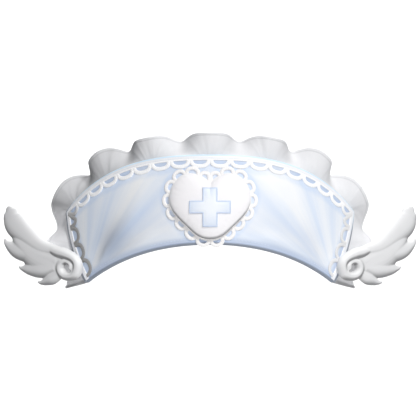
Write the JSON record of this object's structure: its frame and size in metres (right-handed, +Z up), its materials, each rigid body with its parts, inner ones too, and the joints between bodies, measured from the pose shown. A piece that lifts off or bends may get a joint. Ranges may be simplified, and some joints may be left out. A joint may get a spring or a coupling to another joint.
{
  "type": "winged nurse cap",
  "caption": "Open nurse headdress: a curved satin band edged with lace, a gathered ruffle along its sides and crown, a padded heart with a cross at the front and a moulded wing at each foot.",
  "frame": {"origin": "inside of the band, at the middle of its lower rim, where it sits on the head", "axes": "+X across the cap to the viewer's right, +Y from the front towards the head, +Z up"},
  "size_m": [0.267, 0.0614, 0.0963],
  "materials": {
    "satin": "pale blue satin with a soft sheen",
    "pale_piping": "smooth satin piping, icy blue at its outside",
    "slate_hem": "slate-blue satin hem roll",
    "white_lace": "matt white scalloped lace",
    "frill_cloth": "soft matt white cloth",
    "cream_lace": "matt off-white looped lace",
    "heart_cloth": "smooth padded white cloth",
    "cross_satin": "pale blue satin patch with a bluer border",
    "wing_foam": "smooth moulded white foam with a soft skin"
  },
  "bodies": {
    "root": {"band": "satin", "rim_piping": "pale_piping", "bottom_hem": "slate_hem", "lace_trim": "white_lace", "ruffle": "frill_cloth", "heart_lace": "cream_lace", "heart_badge": "heart_cloth", "heart_cross": "cross_satin", "wing_left": "wing_foam", "wing_right": "wing_foam"}
  },
  "joints": []
}
